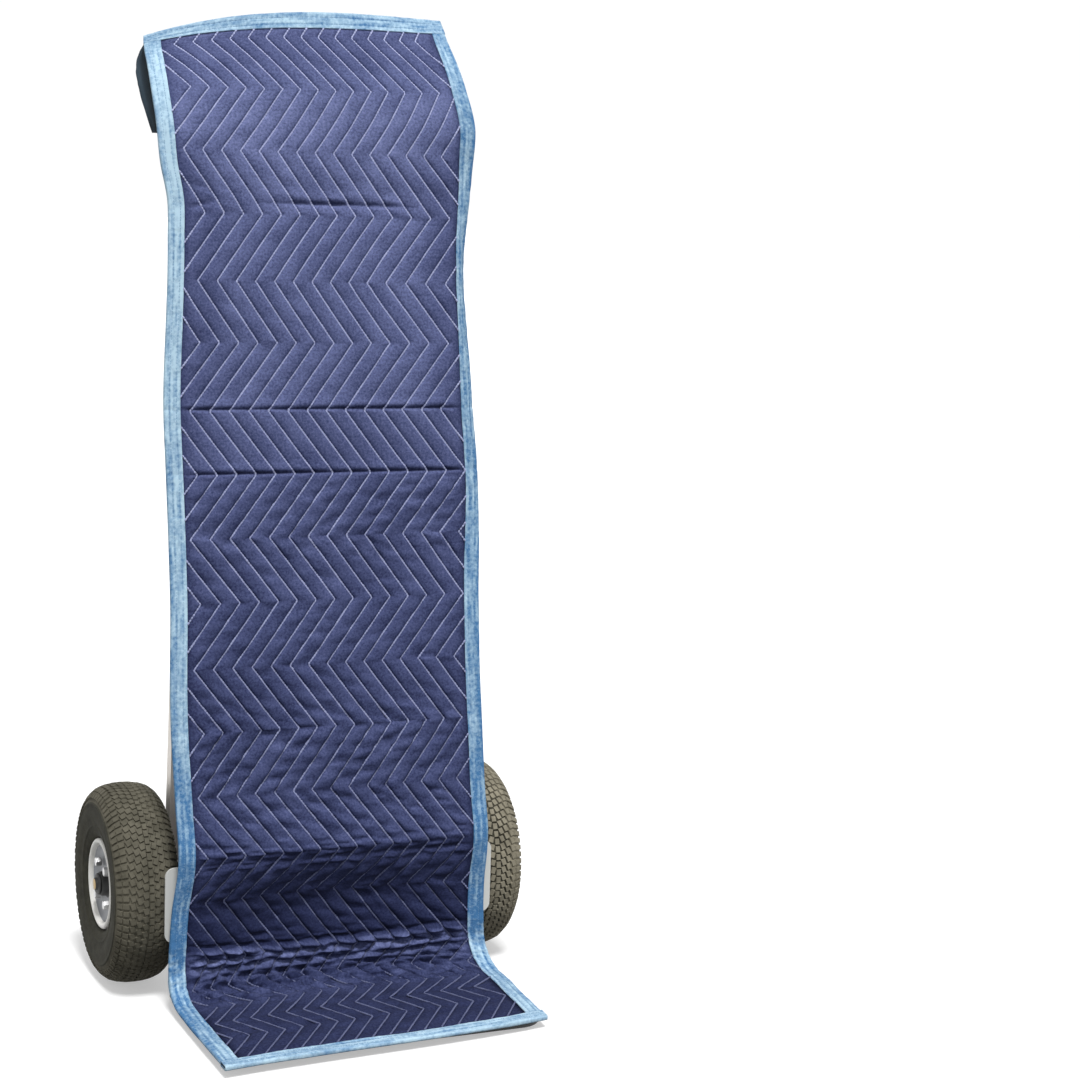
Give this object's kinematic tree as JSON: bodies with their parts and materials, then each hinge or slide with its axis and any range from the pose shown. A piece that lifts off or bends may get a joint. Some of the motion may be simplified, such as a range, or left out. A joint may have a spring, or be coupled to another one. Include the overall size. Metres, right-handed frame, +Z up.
{
  "type": "hand truck cover on a hand truck",
  "caption": "Quilted padded cover with zigzag stitching and bound edges, hung by a pocket on the handle of a plain hand truck and draped down its front and over its toe plate.",
  "frame": {"origin": "centre of the overall box at floor level", "axes": "+Z up, -Y is the front that the load stands on, +X is the right side seen from the front"},
  "size_m": [0.572, 0.5308, 1.2897],
  "materials": {
    "quilted_cloth": "quilted woven cloth, matt",
    "binding_tape": "woven binding tape, matt",
    "pocket_cloth": "black woven cloth, matt",
    "aluminium": "satin",
    "dark_steel": "satin",
    "black_steel": "satin",
    "rubber": "matt",
    "rim_paint": "satin",
    "brass": "dull"
  },
  "bodies": {
    "root": {"quilted_panel": "quilted_cloth", "binding_left": "binding_tape", "binding_right": "binding_tape", "binding_top": "binding_tape", "binding_toe": "binding_tape", "top_pocket": "pocket_cloth", "rail_left": "aluminium", "rail_right": "aluminium", "rear_brace_left": "aluminium", "rear_brace_right": "aluminium", "axle_bracket_left": "aluminium", "axle_bracket_right": "aluminium", "handle_bar": "aluminium", "rail_foot_left": "black_steel", "rail_foot_right": "black_steel", "toe_plate": "black_steel", "cross_bar_1": "dark_steel", "cross_bar_2": "dark_steel", "cross_bar_3": "dark_steel", "cross_bar_4": "dark_steel", "axle_tube": "dark_steel", "stub_axle_left": "dark_steel", "stub_axle_right": "dark_steel", "tyre_left": "rubber", "tyre_right": "rubber", "rim_left": "rim_paint", "rim_right": "rim_paint", "hub_cap_left": "brass", "hub_cap_right": "brass"}
  },
  "joints": []
}
